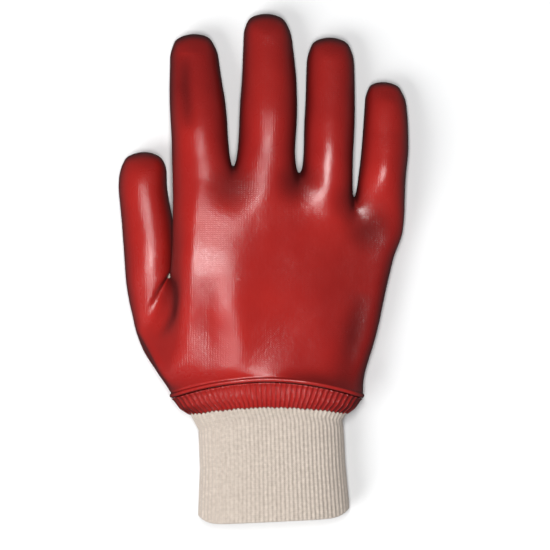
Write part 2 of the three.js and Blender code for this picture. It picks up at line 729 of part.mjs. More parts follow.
const redCoating = new THREE.MeshStandardMaterial({ color: 0xa8201f, roughness: 0.35 });
const dippedKnit = new THREE.MeshStandardMaterial({ color: 0x9c1c1c, roughness: 0.45 });
const rawKnit = new THREE.MeshStandardMaterial({ color: 0xd3c4b1, roughness: 0.95 });

const glove = new THREE.Group();
glove.add(coatedHand(redCoating), coatedRibBand(dippedKnit), knitCuff(rawKnit));

const box = new THREE.Box3().setFromObject(glove);
const centre = box.getCenter(new THREE.Vector3());
glove.position.set(-centre.x, -centre.y, -box.min.z);

export default glove;
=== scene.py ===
# A dipped work glove for the right hand, lying palm down: a coated hand over a cotton liner, a band
# of coating over the top of the knit wrist, and the bare rib knit below it.
# The glove's sizes are in millimetres and are turned into metres where a mesh is made. They are
# counted from the hem of the hand: x across from its middle, y up towards the fingertips, z up from
# the table. The table, the lights and the camera are in metres.

import math
from collections import namedtuple

import bmesh
import bpy
import mathutils
import numpy as np
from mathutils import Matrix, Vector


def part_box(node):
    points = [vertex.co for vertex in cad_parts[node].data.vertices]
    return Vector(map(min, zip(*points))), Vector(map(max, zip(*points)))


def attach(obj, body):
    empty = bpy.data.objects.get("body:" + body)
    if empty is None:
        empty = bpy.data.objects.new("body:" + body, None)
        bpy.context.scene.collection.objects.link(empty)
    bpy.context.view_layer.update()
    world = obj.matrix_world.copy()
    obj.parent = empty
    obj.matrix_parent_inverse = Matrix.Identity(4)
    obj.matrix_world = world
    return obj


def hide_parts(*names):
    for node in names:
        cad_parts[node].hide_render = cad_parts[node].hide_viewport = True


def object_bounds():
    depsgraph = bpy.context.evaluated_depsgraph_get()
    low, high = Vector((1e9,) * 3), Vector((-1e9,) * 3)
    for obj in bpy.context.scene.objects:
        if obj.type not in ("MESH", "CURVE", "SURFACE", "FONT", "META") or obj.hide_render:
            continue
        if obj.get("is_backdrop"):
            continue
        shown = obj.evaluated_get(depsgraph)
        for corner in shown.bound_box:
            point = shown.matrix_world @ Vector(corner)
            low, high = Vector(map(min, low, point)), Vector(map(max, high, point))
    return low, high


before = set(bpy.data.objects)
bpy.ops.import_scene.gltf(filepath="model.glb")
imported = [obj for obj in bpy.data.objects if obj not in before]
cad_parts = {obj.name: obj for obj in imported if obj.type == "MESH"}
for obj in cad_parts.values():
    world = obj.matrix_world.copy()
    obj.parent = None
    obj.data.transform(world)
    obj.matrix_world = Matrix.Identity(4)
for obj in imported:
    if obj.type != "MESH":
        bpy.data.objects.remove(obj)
cad_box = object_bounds()


# The coated hand. A liner cut and sewn from cotton jersey is pulled on a former and dipped in red
# coating, so both are one bonded wall. It keeps the round of the former, the webs between the
# fingers and a few soft folds. Below its hem the seam to the knit shows as a raised welt.

WALL = 1.5
PALM_LENGTH = 120.2  # side of the hem up to the fork of the index and middle fingers
PALM_WIDTH = 124.0  # across the knuckles
PALM_HEIGHT = 40.0
HEM_WIDTH = 101.5
HEM_HEIGHT = 34.0
HEM_ARCH_BACK = 8.7  # how far the hem climbs at the middle of the back
HEM_ARCH_FRONT = 3.5
WELT_PROUD = 0.8
WELT_DROP = 2.6

FINGER_LENGTH = 82.4  # the middle finger, from its forks
FINGER_WIDTH = 30.6
FINGER_THICK = 27.0
FINGER_RISE = 9.5
# root and tip are the places of the middle line and bow its sideways bulge, as shares of the
# palm's width. long, wide and thick are shares of the middle finger's sizes, taper the share of
# the width lost towards the tip, and rise a share of the index finger's.
Finger = namedtuple("Finger", "root tip bow long wide thick taper rise")
FINGERS = [
    Finger(-0.279, -0.321, 0.0015, 0.854, 0.987, 0.963, 0.14, 1.0),
    Finger(-0.009, -0.004, 0.015, 1.0, 1.0, 1.0, 0.14, 0.84),
    Finger(0.254, 0.271, 0.006, 0.942, 0.868, 0.945, 0.04, 0.72),
    Finger(0.48, 0.502, 0.015, 0.739, 0.822, 0.852, 0.12, 0.45),
]
FORKS = [1.0, 0.978, 0.868]  # heights of the webs, as shares of the palm's length
FORK_DIPS = [2.4, 2.4, 1.3]  # how far the back sinks, and the palm side rises, towards each web
FORK_LENGTH = 9.0
KNUCKLE_DROP = 14.0  # from the webs down to the knuckles' section
SIDE_DROP = 17.0  # the same at the hand's two sides

# Sections of a finger: along is a share of its length, slim of its taper, deep of its thickness
# and drop of the rise under its root.
FingerRow = namedtuple("FingerRow", "along slim deep drop")
FINGER_ROWS = [
    FingerRow(0.12, 0.0, 1.0, 0.92),
    FingerRow(0.35, 0.1, 1.0, 0.62),
    FingerRow(0.58, 0.4, 0.91, 0.28),
    FingerRow(0.78, 1.0, 0.8, 0.0),
]
# The rounded end: back is a share of the last width, round and deep factors on the last width
# and thickness, and lift the height of the middle as a share of that thickness.
TipRow = namedtuple("TipRow", "back round deep lift")
TIP_ROWS = [TipRow(0.36, 0.93, 0.86, 0.445), TipRow(0.13, 0.72, 0.6, 0.4)]
TIP_LIFT = 0.36

THUMB_LENGTH = 80.9
THUMB_WIDTH = 26.0
THUMB_THICK = 24.0
THUMB_RISE = 5.0
THUMB_END = -0.608  # the tip's place, as a share of its width from the palm's edge
# Sections of the thumb, fanned round its web: the places of the outer and inner edges as shares
# of its width from the palm's edge, their heights low and high as shares of its length. deep is a
# share of its thickness and drop of the rise at its root.
ThumbRow = namedtuple("ThumbRow", "outer low inner high deep drop")
THUMB_ROWS = [
    ThumbRow(-0.648, -0.286, -0.03, 0.215, 0.93, 0.3),
    ThumbRow(-0.808, -0.114, 0.01, 0.24, 0.95, 0.35),
    ThumbRow(-0.923, 0.056, 0.03, 0.285, 1.0, 0.35),
    ThumbRow(-0.992, 0.265, 0.03, 0.37, 1.04, 0.26),
    ThumbRow(-1.046, 0.519, -0.008, 0.545, 1.01, 0.08),
    ThumbRow(-1.112, 0.756, -0.124, 0.756, 0.94, 0.0),
]

# Sections of the palm: up is a share of the palm's length, left and right of its width, mid, half
# and roll of its height. crest is the place of the back's highest line as a share of the half
# width, slope the power of the back's curve from there down to the right (2 is an ellipse, less
# is straighter), and web how much higher the thumb's side lies, as a share of the palm's length.
PalmRow = namedtuple("PalmRow", "up left right mid half roll crest slope web")
PALM_ROWS = [
    PalmRow(0.102, 0.477, 0.418, 0.455, 0.45, 0.025, -0.3, 1.75, 0.0),
    PalmRow(0.243, 0.436, 0.454, 0.475, 0.475, 0.05, -0.4, 1.5, 0.03),
    PalmRow(0.392, 0.414, 0.484, 0.51, 0.475, 0.09, -0.45, 1.45, 0.125),
    PalmRow(0.562, 0.405, 0.514, 0.55, 0.44, 0.15, -0.45, 1.45, 0.05),
    PalmRow(0.722, 0.403, 0.55, 0.545, 0.4, 0.16, -0.4, 1.45, 0.0),
]
THUMB_SECTIONS = 3  # the thumb grows out between the first this many of them
PALM_SLANT = 0.14  # how much lower a section lies at its right, as a share of its height
KNUCKLE_MID, KNUCKLE_HALF, KNUCKLE_ROLL = 0.54, 0.365, 0.14
KNUCKLE_CREST, KNUCKLE_SLOPE = -0.3, 1.45
PALM_POWER = 2.5  # the curve of the palm's underside and of the hem
SHOULDER_POWER = 2.2  # the back's curve from its crest down to the thumb's side
EDGE_ROUND = 0.35  # how much more rounded the back is near its right edge
EDGE_POWER = 8  # how close to the edge that rounding keeps
EDGE_DROP = 2.6  # how much lower that edge lies
WEB_POWER = 6  # how close to the thumb's side its web lifts a section
SIDE_COLUMN = 0.16  # from an outer finger's side to the column near it, as a share of its width
CORNER = 0.73  # how far out the corners of an eight-sided section lie

# Dents: across and reach are shares of the palm's width, up of its length, deep of the deepest
# dent, and the last field is how much painted shade darkens it.
DENT_DEPTH = 3.0
Dent = namedtuple("Dent", "back across up reach deep pool")
DENTS = [
    Dent(True, 0.44, 0.735, 0.14, 0.3, 0.8),
    Dent(True, -0.145, 0.915, 0.14, 0.6, 0.8),
    Dent(True, 0.141, 0.93, 0.12, 0.5, 0.8),
    Dent(True, 0.36, 0.84, 0.11, 0.2, 0.6),
    Dent(True, -0.25, 0.22, 0.16, 0.35, 0.0),
    Dent(True, 0.42, 0.22, 0.22, 0.3, 0.2),
    Dent(True, 0.42, 0.5, 0.36, 0.03, 0.4),
    Dent(False, 0.05, 0.5, 0.3, 1.0, 0.0),
    Dent(False, -0.26, 0.42, 0.17, 0.8, 0.0),
    Dent(False, 0.28, 0.78, 0.22, 0.6, 0.0),
]

# Soft folds of the back: a line of places in the plane of the table, how deep it is pressed (a
# ridge is negative), how far it reaches to either side, and how much painted shade darkens it.
Fold = namedtuple("Fold", "line deep wide pool")
FOLDS = [
    # the rolled edge below the thumb, and the hollow outside it
    Fold([(-69, 35), (-62, 23), (-55.5, 10), (-49.5, 2)], -1.5, 2.0, 0.0),
    Fold([(-71.5, 33), (-65, 21), (-58.5, 9), (-52, 1)], 1.6, 2.2, 0.6),
    # the palm's edge, rolled over the root of the thumb
    Fold([(-49.5, 60), (-49.2, 50), (-50.5, 42), (-54, 35), (-59, 30)], 1.2, 2.4, 0.45),
    Fold([(-57.5, 52), (-62, 45), (-67, 38)], -0.6, 4.0, 0.0),
    # the ridge that runs on from the index finger, the hollow beside it and the back's own ridge
    Fold([(-36, 112), (-39, 85), (-42, 60), (-42.5, 36), (-39, 14)], -1.0, 6.0, 0.0),
    Fold([(-29, 62), (-32, 44), (-32.5, 26), (-31, 6)], 0.5, 4.5, 0.2),
    Fold([(-18, 66), (-17, 40), (-16, 20), (-15, 0)], -0.7, 9.0, 0.0),
    # the hollow on the index finger's outer side, and the little finger's ridge down to its root
    Fold([(-43.5, 180), (-44, 163), (-41.5, 140)], 1.0, 4.0, 0.6),
    Fold([(65.5, 138), (62, 117), (57, 103)], -0.6, 5.0, 0.0),
    # the shallow fold along the back's outer side, down to the hem
    Fold([(52, 54), (47, 33), (43.5, 14), (42, 2)], 0.5, 6.0, 0.7),
]


def arch(u, power):
    """Height of a rounded section over its middle line, at the share u of its half width."""
    return (1 - min(1, abs(u)) ** power) ** (1 / power)


def hem_height(u, on_back):
    """Height of the hem over its two sides."""
    return (HEM_ARCH_BACK if on_back else HEM_ARCH_FRONT) * (1 - u * u)


def fork_height(i):
    """Height of a web between two fingers. The outer fingers' far sides count as their one web."""
    return FORKS[max(0, min(len(FORKS) - 1, i))] * PALM_LENGTH


class Cage:
    """Named corner points and the four-sided faces between them."""

    def __init__(self):
        self.places = {}
        self.faces = []

    def ring(self, name, centre, half, half_thick):
        """Sets eight corners round a centre. half runs from the centre to the right edge."""
        names = []
        for i, (across, up) in enumerate(OCTAGON):
            place = centre + across * half + (0, 0, up * half_thick)
            self.places[f"{name}.{i}"] = place
            names.append(f"{name}.{i}")
        return names

    def strip(self, near, far):
        """Joins two closed rings."""
        for i in range(len(near)):
            j = (i + 1) % len(near)
            self.faces.append((near[i], near[j], far[j], far[i]))


OCTAGON = [
    (-CORNER, CORNER),
    (0, 1),
    (CORNER, CORNER),
    (1, 0),
    (CORNER, -CORNER),
    (0, -1),
    (-CORNER, -CORNER),
    (-1, 0),
]


def palm_columns():
    """The palm's two edges at the knuckles, and where its columns lie between them: the middle
    of each finger, the webs and one column near each side."""

    def edge(finger, side):
        return finger.root * PALM_WIDTH + side * finger.wide * FINGER_WIDTH / 2

    first, last = FINGERS[0], FINGERS[-1]
    left, right = edge(first, -1), edge(last, 1)
    places = [left + SIDE_COLUMN * first.wide * FINGER_WIDTH]
    for finger, after in zip(FINGERS, FINGERS[1:] + [None]):
        places.append(finger.root * PALM_WIDTH)
        if after:
            places.append((edge(finger, 1) + edge(after, -1)) / 2)
    places.append(right - SIDE_COLUMN * last.wide * FINGER_WIDTH)
    return left, right, [(x - left) / (right - left) for x in places]


# A section of the palm in millimetres: its two edges, the height and half thickness of its middle,
# how far its left side is rolled up, and the back's crest and slope. The hem has no crest.
Section = namedtuple("Section", "left right mid half roll crest slope")


def back_height(u, section):
    """Height of the back over its middle line, as a share of the section's half thickness."""
    if section.crest is None:
        return arch(u, PALM_POWER)
    off_crest = (u - section.crest) / (1 - section.crest * u)
    if u <= section.crest:
        return arch(off_crest, SHOULDER_POWER)
    return arch(off_crest, section.slope + EDGE_ROUND * max(0, u) ** EDGE_POWER)


def set_palm_row(cage, row, shares, section, height):
    """Sets one section of the palm. height(u, on_back, column) gives each corner its y."""
    left, right, mid, half, roll = section[:5]
    for i, share in enumerate(shares):
        u = 2 * share - 1
        x = (left + right) / 2 + u * (right - left) / 2
        z = mid - u * roll
        above, below = half * back_height(u, section), half * arch(u, PALM_POWER)
        cage.places[f"{row}back{i}"] = np.array((x, height(u, True, i), z + above))
        cage.places[f"{row}front{i}"] = np.array((x, height(u, False, i), z - below))
    cage.places[f"{row}left"] = np.array((left, height(-1, True, -1), mid + roll))
    low = mid - roll - (0 if section.crest is None else EDGE_DROP)
    cage.places[f"{row}right"] = np.array((right, height(1, True, len(shares)), low))


def palm_ring(row, columns):
    """Names of a section's corners: over the back, the far side, the front, the thumb's side."""
    back = [f"{row}back{i}" for i in range(columns)]
    front = [f"{row}front{i}" for i in range(columns)]
    return back + [f"{row}right"] + front[::-1] + [f"{row}left"]


def build_palm(cage):
    """The palm from the hem to the knuckles, with a hole left for the thumb."""
    left, right, shares = palm_columns()
    columns = len(shares)
    hem = Section(
        -HEM_WIDTH / 2, HEM_WIDTH / 2, WELT_PROUD + HEM_HEIGHT / 2, HEM_HEIGHT / 2, 0, None, None
    )
    set_palm_row(cage, "row0", shares, hem, lambda u, on_back, column: hem_height(u, on_back))
    for i, row in enumerate(PALM_ROWS):

        def height(u, on_back, column, row=row):
            level = row.up * PALM_LENGTH * (1 - PALM_SLANT * (u + 1) / 2)
            level += row.web * PALM_LENGTH * max(0, -u) ** WEB_POWER
            return level + (1 - row.up) / 2 * hem_height(u, on_back)

        section = Section(
            -row.left * PALM_WIDTH, row.right * PALM_WIDTH, row.mid * PALM_HEIGHT,
            row.half * PALM_HEIGHT, row.roll * PALM_HEIGHT, row.crest, row.slope,
        )
        set_palm_row(cage, f"row{i + 1}", shares, section, height)

    def knuckle_height(u, on_back, column):
        if column < 0:
            return fork_height(0) - SIDE_DROP
        if column >= columns:
            return fork_height(len(FORKS)) - SIDE_DROP
        if 0 < column < columns - 1 and column % 2 == 0:
            return fork_height(column // 2 - 1) - FORK_LENGTH
        finger = min(column, columns - 2) // 2
        return (fork_height(finger - 1) + fork_height(finger)) / 2 - KNUCKLE_DROP

    top = f"row{len(PALM_ROWS) + 1}"
    section = Section(
        left, right, KNUCKLE_MID * PALM_HEIGHT, KNUCKLE_HALF * PALM_HEIGHT,
        KNUCKLE_ROLL * PALM_HEIGHT, KNUCKLE_CREST, KNUCKLE_SLOPE,
    )
    set_palm_row(cage, top, shares, section, knuckle_height)
    for i in range(len(FORKS)):
        back, front = cage.places[f"{top}back{2 * i + 2}"], cage.places[f"{top}front{2 * i + 2}"]
        back[2] -= FORK_DIPS[i]
        front[2] += FORK_DIPS[i]
        cage.places[f"fork{i}"] = np.array((back[0], fork_height(i), (back[2] + front[2]) / 2))
    rings = [palm_ring(f"row{i}", columns) for i in range(len(PALM_ROWS) + 2)]

    def thumb_side(name):
        return name.endswith(("left", "back0", "front0"))

    for i in range(len(rings) - 1):
        in_hole = 0 < i < THUMB_SECTIONS
        for j, name in enumerate(rings[i]):
            after = (j + 1) % len(rings[i])
            if not (in_hole and thumb_side(name) and thumb_side(rings[i][after])):
                face = (name, rings[i][after], rings[i + 1][after], rings[i + 1][j])
                cage.faces.append(face)
    return top


def close_tip(cage, name, ring, centre, half, half_thick, tip):
    """The rounded end of a finger or thumb, beyond its last ring."""
    width = 2 * np.linalg.norm(half)
    for k, row in enumerate(TIP_ROWS):
        t = 1 - row.back * width / (tip[1] - centre[1])
        middle = centre + (tip - centre) * t
        middle[2] = 2 * half_thick * row.lift
        further = cage.ring(f"{name}.end{k}", middle, half * row.round, half_thick * row.deep)
        cage.strip(ring, further)
        ring = further
    end = f"{name}.tip"
    cage.places[end] = np.array((tip[0], tip[1], 2 * half_thick * TIP_LIFT))
    for i in range(0, len(ring), 2):
        cage.faces.append((ring[i], ring[i + 1], ring[(i + 2) % len(ring)], end))


def build_finger(cage, finger, i, top):
    """Rings of eight along a gently bowed middle line, from the knuckles to the tip."""
    near = f"fork{i - 1}" if i > 0 else f"{top}left"
    far = f"fork{i}" if i < len(FINGERS) - 1 else f"{top}right"
    columns = (2 * i, 2 * i + 1, 2 * i + 2)
    ring = [f"{top}back{c}" for c in columns] + [far]
    ring += [f"{top}front{c}" for c in reversed(columns)] + [near]
    start = (fork_height(i - 1) + fork_height(i)) / 2
    length = finger.long * FINGER_LENGTH

    def across(t):
        shift = (finger.tip - finger.root) * t + finger.bow * 4 * t * (1 - t)
        return PALM_WIDTH * (finger.root + shift)

    side = np.array((length, across(0) - across(1), 0))
    side /= np.linalg.norm(side)
    for k, row in enumerate(FINGER_ROWS):
        half = side * finger.wide * FINGER_WIDTH * (1 - finger.taper * row.slim) / 2
        half_thick = finger.thick * FINGER_THICK * row.deep / 2
        z = half_thick + finger.rise * FINGER_RISE * row.drop
        centre = np.array((across(row.along), start + row.along * length, z))
        further = cage.ring(f"finger{i}.{k}", centre, half, half_thick)
        cage.strip(ring, further)
        ring = further
    tip = np.array((across(1), start + length, 0))
    close_tip(cage, f"finger{i}", ring, centre, half, half_thick, tip)


def build_thumb(cage):
    """Rings of eight from the hole in the palm's side to the thumb's tip."""
    low, mid, high = [f"row{i + 1}" for i in range(THUMB_SECTIONS)]
    ring = [f"{low}back0", f"{mid}back0", f"{high}back0", f"{high}left"]
    ring += [f"{high}front0", f"{mid}front0", f"{low}front0", f"{low}left"]
    edge = palm_columns()[0]
    base = PALM_ROWS[THUMB_SECTIONS - 1].up * PALM_LENGTH

    def place(aside, along):
        return np.array((edge + aside * THUMB_WIDTH, base + along * THUMB_LENGTH, 0.0))

    for k, row in enumerate(THUMB_ROWS):
        outer, inner = place(row.outer, row.low), place(row.inner, row.high)
        half_thick = row.deep * THUMB_THICK / 2
        half = (inner - outer) / 2
        centre = (inner + outer) / 2
        centre[2] = half_thick + row.drop * THUMB_RISE
        further = cage.ring(f"thumb.{k}", centre, half, half_thick)
        cage.strip(ring, further)
        ring = further
    close_tip(cage, "thumb", ring, centre, half, half_thick, place(THUMB_END, 1))


FIT_ROUNDS = 8
SMOOTH_LEVELS = 3  # times that each face of the cage is split in four


def fit_cage(places, faces):
    """Moves a cage out until the smooth surface inside it passes through the given places. A
    corner settles at an average of itself, its neighbours and its faces' far corners."""
    count = len(places)
    edges, corners, used = [set() for _ in places], [[] for _ in places], {}
    for face in faces:
        for i, v in enumerate(face):
            after = face[(i + 1) % 4]
            edges[v].add(after)
            edges[after].add(v)
            corners[v].append(face[(i + 2) % 4])
            key = (min(v, after), max(v, after))
            used[key] = used.get(key, 0) + 1
    rim = [[] for _ in places]
    for (a, b), times in used.items():
        if times == 1:
            rim[a].append(b)
            rim[b].append(a)
    settle = np.zeros((count, count))
    for i in range(count):
        n = len(edges[i])
        if rim[i]:
            settle[i, rim[i]] = 1 / 6
            settle[i, i] = 4 / 6
        else:
            settle[i, list(edges[i])] = 4 / (n * (n + 5))
            settle[i, corners[i]] = 1 / (n * (n + 5))
            settle[i, i] = n / (n + 5)
    fitted = places.copy()
    for _ in range(FIT_ROUNDS):
        fitted += places - settle @ fitted
    return fitted


def smooth_surface(places, faces):
    """Points and faces of the smooth surface inside a cage."""
    mesh = bpy.data.meshes.new("cage")
    mesh.from_pydata(places.tolist(), [], faces)
    former = bpy.data.objects.new("cage", mesh)
    bpy.context.collection.objects.link(former)
    step = former.modifiers.new("smooth", "SUBSURF")
    step.levels = step.render_levels = SMOOTH_LEVELS
    step.use_limit_surface = True
    made = former.evaluated_get(bpy.context.evaluated_depsgraph_get()).to_mesh()
    points = np.empty(3 * len(made.vertices))
    made.vertices.foreach_get("co", points)
    quads = np.empty(4 * len(made.polygons), dtype=np.int32)
    made.loops.foreach_get("vertex_index", quads)
    bpy.data.objects.remove(former)
    bpy.data.meshes.remove(mesh)
    return points.reshape(-1, 3), quads.reshape(-1, 4)


def normals_of(points, quads):
    """Outward direction at each point, from the faces round it."""
    a, b, c, d = (points[quads[:, k]] for k in range(4))
    facing = np.cross(c - a, d - b)
    normals = np.zeros_like(points)
    for k in range(4):
        np.add.at(normals, quads[:, k], facing)
    return normals / np.maximum(np.linalg.norm(normals, axis=1, keepdims=True), 1e-12)


WAVE_COUNT = 14


def waves(points, size, seed):
    """A smooth uneven field from about -1 to 1, with swells of about that size."""
    rng = np.random.default_rng(seed)
    field = np.zeros(len(points))
    for _ in range(WAVE_COUNT):
        way = rng.normal(size=3)
        way *= 2 * math.pi / (size * rng.uniform(0.8, 1.6) * np.linalg.norm(way))
        field += np.sin(points @ way + rng.uniform(0, 2 * math.pi))
    return field / math.sqrt(WAVE_COUNT)


def press_dents(points, normals):
    """The dents, pressed along the height of the hand. Gives back how much painted shade each point
    takes in them.
    """
    facing = normals[:, 2]
    painted_shade_share = np.zeros(len(points))
    for dent in DENTS:
        place = np.array((dent.across * PALM_WIDTH, dent.up * PALM_LENGTH))
        away = np.linalg.norm(points[:, :2] - place, axis=1) / (dent.reach * PALM_WIDTH)
        share = np.maximum(0, 1 - away**2) ** 2 * ((facing > 0) == dent.back)
        points[:, 2] -= dent.deep * DENT_DEPTH * share * facing
        painted_shade_share += dent.pool * share
    return painted_shade_share


SIDE_SHARPNESS = 2.0  # how sharply a fold ends where the hand turns under
SIDE_REACH = 0.4  # how much of it is left where the side stands upright
FADE_POWER = 0.6  # less keeps a fold deep until nearer to its ends


def press_folds(points, normals):
    """The folds, each deepest at the middle of its line and fading out at its ends. Gives back
    how much painted shade each point takes in them."""
    painted_shade_share = np.zeros(len(points))
    for fold in FOLDS:
        line = np.array(fold.line, dtype=float)
        steps = np.linalg.norm(np.diff(line, axis=0), axis=1)
        before = np.concatenate(([0], np.cumsum(steps)))
        nearest = np.full(len(points), 1e9)
        along = np.zeros(len(points))
        for k, step in enumerate(steps):
            way = (line[k + 1] - line[k]) / step
            offset = points[:, :2] - line[k]
            t = np.clip(offset @ way, 0, step)
            away = np.linalg.norm(offset - t[:, None] * way, axis=1)
            closer = away < nearest
            nearest[closer] = away[closer]
            along[closer] = (before[k] + t[closer]) / before[-1]
        on_back = np.clip(normals[:, 2] * SIDE_SHARPNESS + SIDE_REACH, 0, 1)
        fade = np.clip(np.sin(math.pi * np.clip(along, 0, 1)), 0, 1) ** FADE_POWER
        press = fold.deep * np.exp(-((nearest / fold.wide) ** 2)) * fade * on_back
        points -= press[:, None] * normals
        painted_shade_share += fold.pool * press / fold.deep
    return painted_shade_share


def rim_of(quads):
    """The open rim of a mesh as one ring of points, in the order that its faces turn."""
    sides = set()
    for quad in quads.tolist():
        sides.update(zip(quad, quad[1:] + quad[:1]))
    after = {a: b for a, b in sides if (b, a) not in sides}
    ring = [min(after)]
    while after[ring[-1]] != ring[0]:
        ring.append(after[ring[-1]])
    return np.array(ring)


def ring_normals(ring):
    """Directions out of a ring, in the section's plane."""
    step = np.roll(ring, 1, axis=0) - np.roll(ring, -1, axis=0)
    out = np.stack([step[:, 2], np.zeros(len(ring)), -step[:, 0]], axis=1)
    return out / np.linalg.norm(out, axis=1, keepdims=True)


def ring_faces(rings):
    """Faces between closed rings of point numbers, each as long as the others."""
    rings = np.asarray(rings)
    near, far = rings[:-1], rings[1:]
    faces = [near, np.roll(near, -1, 1), np.roll(far, -1, 1), far]
    return np.stack(faces, axis=-1).reshape(-1, 4)


def make_piece(name, points, faces, finishes, finish_of_face):
    """A smooth-shaded piece from points in millimetres, placed by the hem of the CAD hand."""
    mesh = bpy.data.meshes.new(name)
    mesh.from_pydata(((points + hem_place) / 1000).tolist(), [], faces.tolist())
    for finish in finishes:
        mesh.materials.append(finish)
    mesh.polygons.foreach_set("material_index", np.asarray(finish_of_face, dtype=np.int32))
    shell = bmesh.new()
    shell.from_mesh(mesh)
    bmesh.ops.recalc_face_normals(shell, faces=shell.faces)
    if shell.calc_volume(signed=True) < 0:
        bmesh.ops.reverse_faces(shell, faces=shell.faces)
    shell.to_mesh(mesh)
    shell.free()
    mesh.shade_smooth()
    piece = bpy.data.objects.new(name, mesh)
    bpy.context.collection.objects.link(piece)
    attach(piece, "root")
    return piece


def add(tree, kind, inputs=None, **settings):
    """Adds a shader node. inputs gives a socket a value, or another node's output."""
    made = tree.nodes.new("ShaderNode" + kind)
    for key, value in settings.items():
        setattr(made, key, value)
    for key, value in (inputs or {}).items():
        socket = made.inputs[key]
        if isinstance(value, bpy.types.NodeSocket):
            tree.links.new(value, socket)
        else:
            socket.default_value = value
    return made


def calc(tree, operation, *values, clamp=False):
    """The output of a maths node."""
    made = add(tree, "Math", dict(enumerate(values)), operation=operation, use_clamp=clamp)
    return made.outputs[0]


def spread(tree, value, start, end, low, high):
    """What lies between start and end, spread from low to high."""
    return add(tree, "MapRange", {0: value, 1: start, 2: end, 3: low, 4: high}).outputs[0]


def blotches(tree, place, size, low, high, detail=2.0):
    """Soft cloudy noise with patches of about that many millimetres, from low to high."""
    cloud = add(tree, "TexNoise", {"Vector": place, "Scale": 1 / size, "Detail": detail})
    return spread(tree, cloud.outputs[0], 0.3, 0.7, low, high)


def blend(tree, share, first, second):
    """A colour between two, by the share of the second."""
    mix = {0: share, 6: first, 7: second}
    return add(tree, "Mix", mix, data_type="RGBA").outputs[2]


def enlarge(tree, vector, times):
    """A vector made that many times as long."""
    return add(tree, "VectorMath", {0: vector, "Scale": times}, operation="SCALE").outputs[0]


def millimetres(tree):
    """Places on the piece, in millimetres."""
    return enlarge(tree, add(tree, "TexCoord").outputs["Object"], 1000)


def levelness(tree):
    """1 where the surface lies level, down to 0 where it stands upright."""
    facing = add(tree, "SeparateXYZ", {0: add(tree, "NewGeometry").outputs["Normal"]})
    return calc(tree, "ABSOLUTE", facing.outputs[2])


def new_finish(name):
    """A material, its nodes and its main shader."""
    made = bpy.data.materials.new(name)
    made.use_nodes = True
    return made, made.node_tree, made.node_tree.nodes["Principled BSDF"]


def dress(tree, shader, colour, relief, depth):
    """Gives a finish its colour, and its relief that many metres deep."""
    bump = add(tree, "Bump", {"Strength": 1.0, "Distance": depth, "Height": relief})
    tree.links.new(colour, shader.inputs["Base Color"])
    tree.links.new(bump.outputs[0], shader.inputs["Normal"])


LEG_LEAN = 0.75  # how many courses a stitch's leg climbs from the wale's middle to its edge
LEG_RELIEF = 0.7  # how much of a stitch's height is its round legs


def stitches(tree, across, along, wale, course):
    """Height from 0 to 1 of plain knit: plump legs that meet in a V in each wale."""
    column = calc(tree, "FRACT", calc(tree, "DIVIDE", across, wale))
    out = calc(tree, "ABSOLUTE", calc(tree, "SUBTRACT", column, 0.5))
    out = calc(tree, "MULTIPLY", out, 2.0)
    leg = calc(tree, "SINE", calc(tree, "MULTIPLY", out, math.pi))
    row = calc(tree, "DIVIDE", along, course)
    lean = calc(tree, "ADD", row, calc(tree, "MULTIPLY", out, LEG_LEAN))
    loop = calc(tree, "COSINE", calc(tree, "MULTIPLY", lean, 2 * math.pi))
    loop = calc(tree, "MULTIPLY_ADD", loop, 0.5, 0.5)
    return calc(tree, "MULTIPLY", loop, calc(tree, "MULTIPLY_ADD", leg, LEG_RELIEF, 1 - LEG_RELIEF))


LINER_WALE = 1.4
LINER_COURSE = 1.05
COATING_RED = (0.41, 0.016, 0.012, 1)
COATING_DEEP = (0.3, 0.01, 0.009, 1)
SHADE_RED = (0.07, 0.004, 0.004, 1)  # painted shade, down the steep sides and in the hollows
SIDE_SHADE_SPREAD = 0.7  # less spreads the painted shade further up the sides
FULL_HOLLOW_SHADE = 0.7  # how much of the painted shade's colour a full hollow takes
SIDES_ROUGH = 0.35  # how much rougher the sides are than the flat of the hand
COURSES_SHOW = 0.22  # how much the courses show as lines across, beside the stitches
KNIT_WANDERS = 1.1  # how far the stitches stray, in millimetres
TOP_POWER = 1.5  # how soon the stitches seen from above give way to those seen from the side


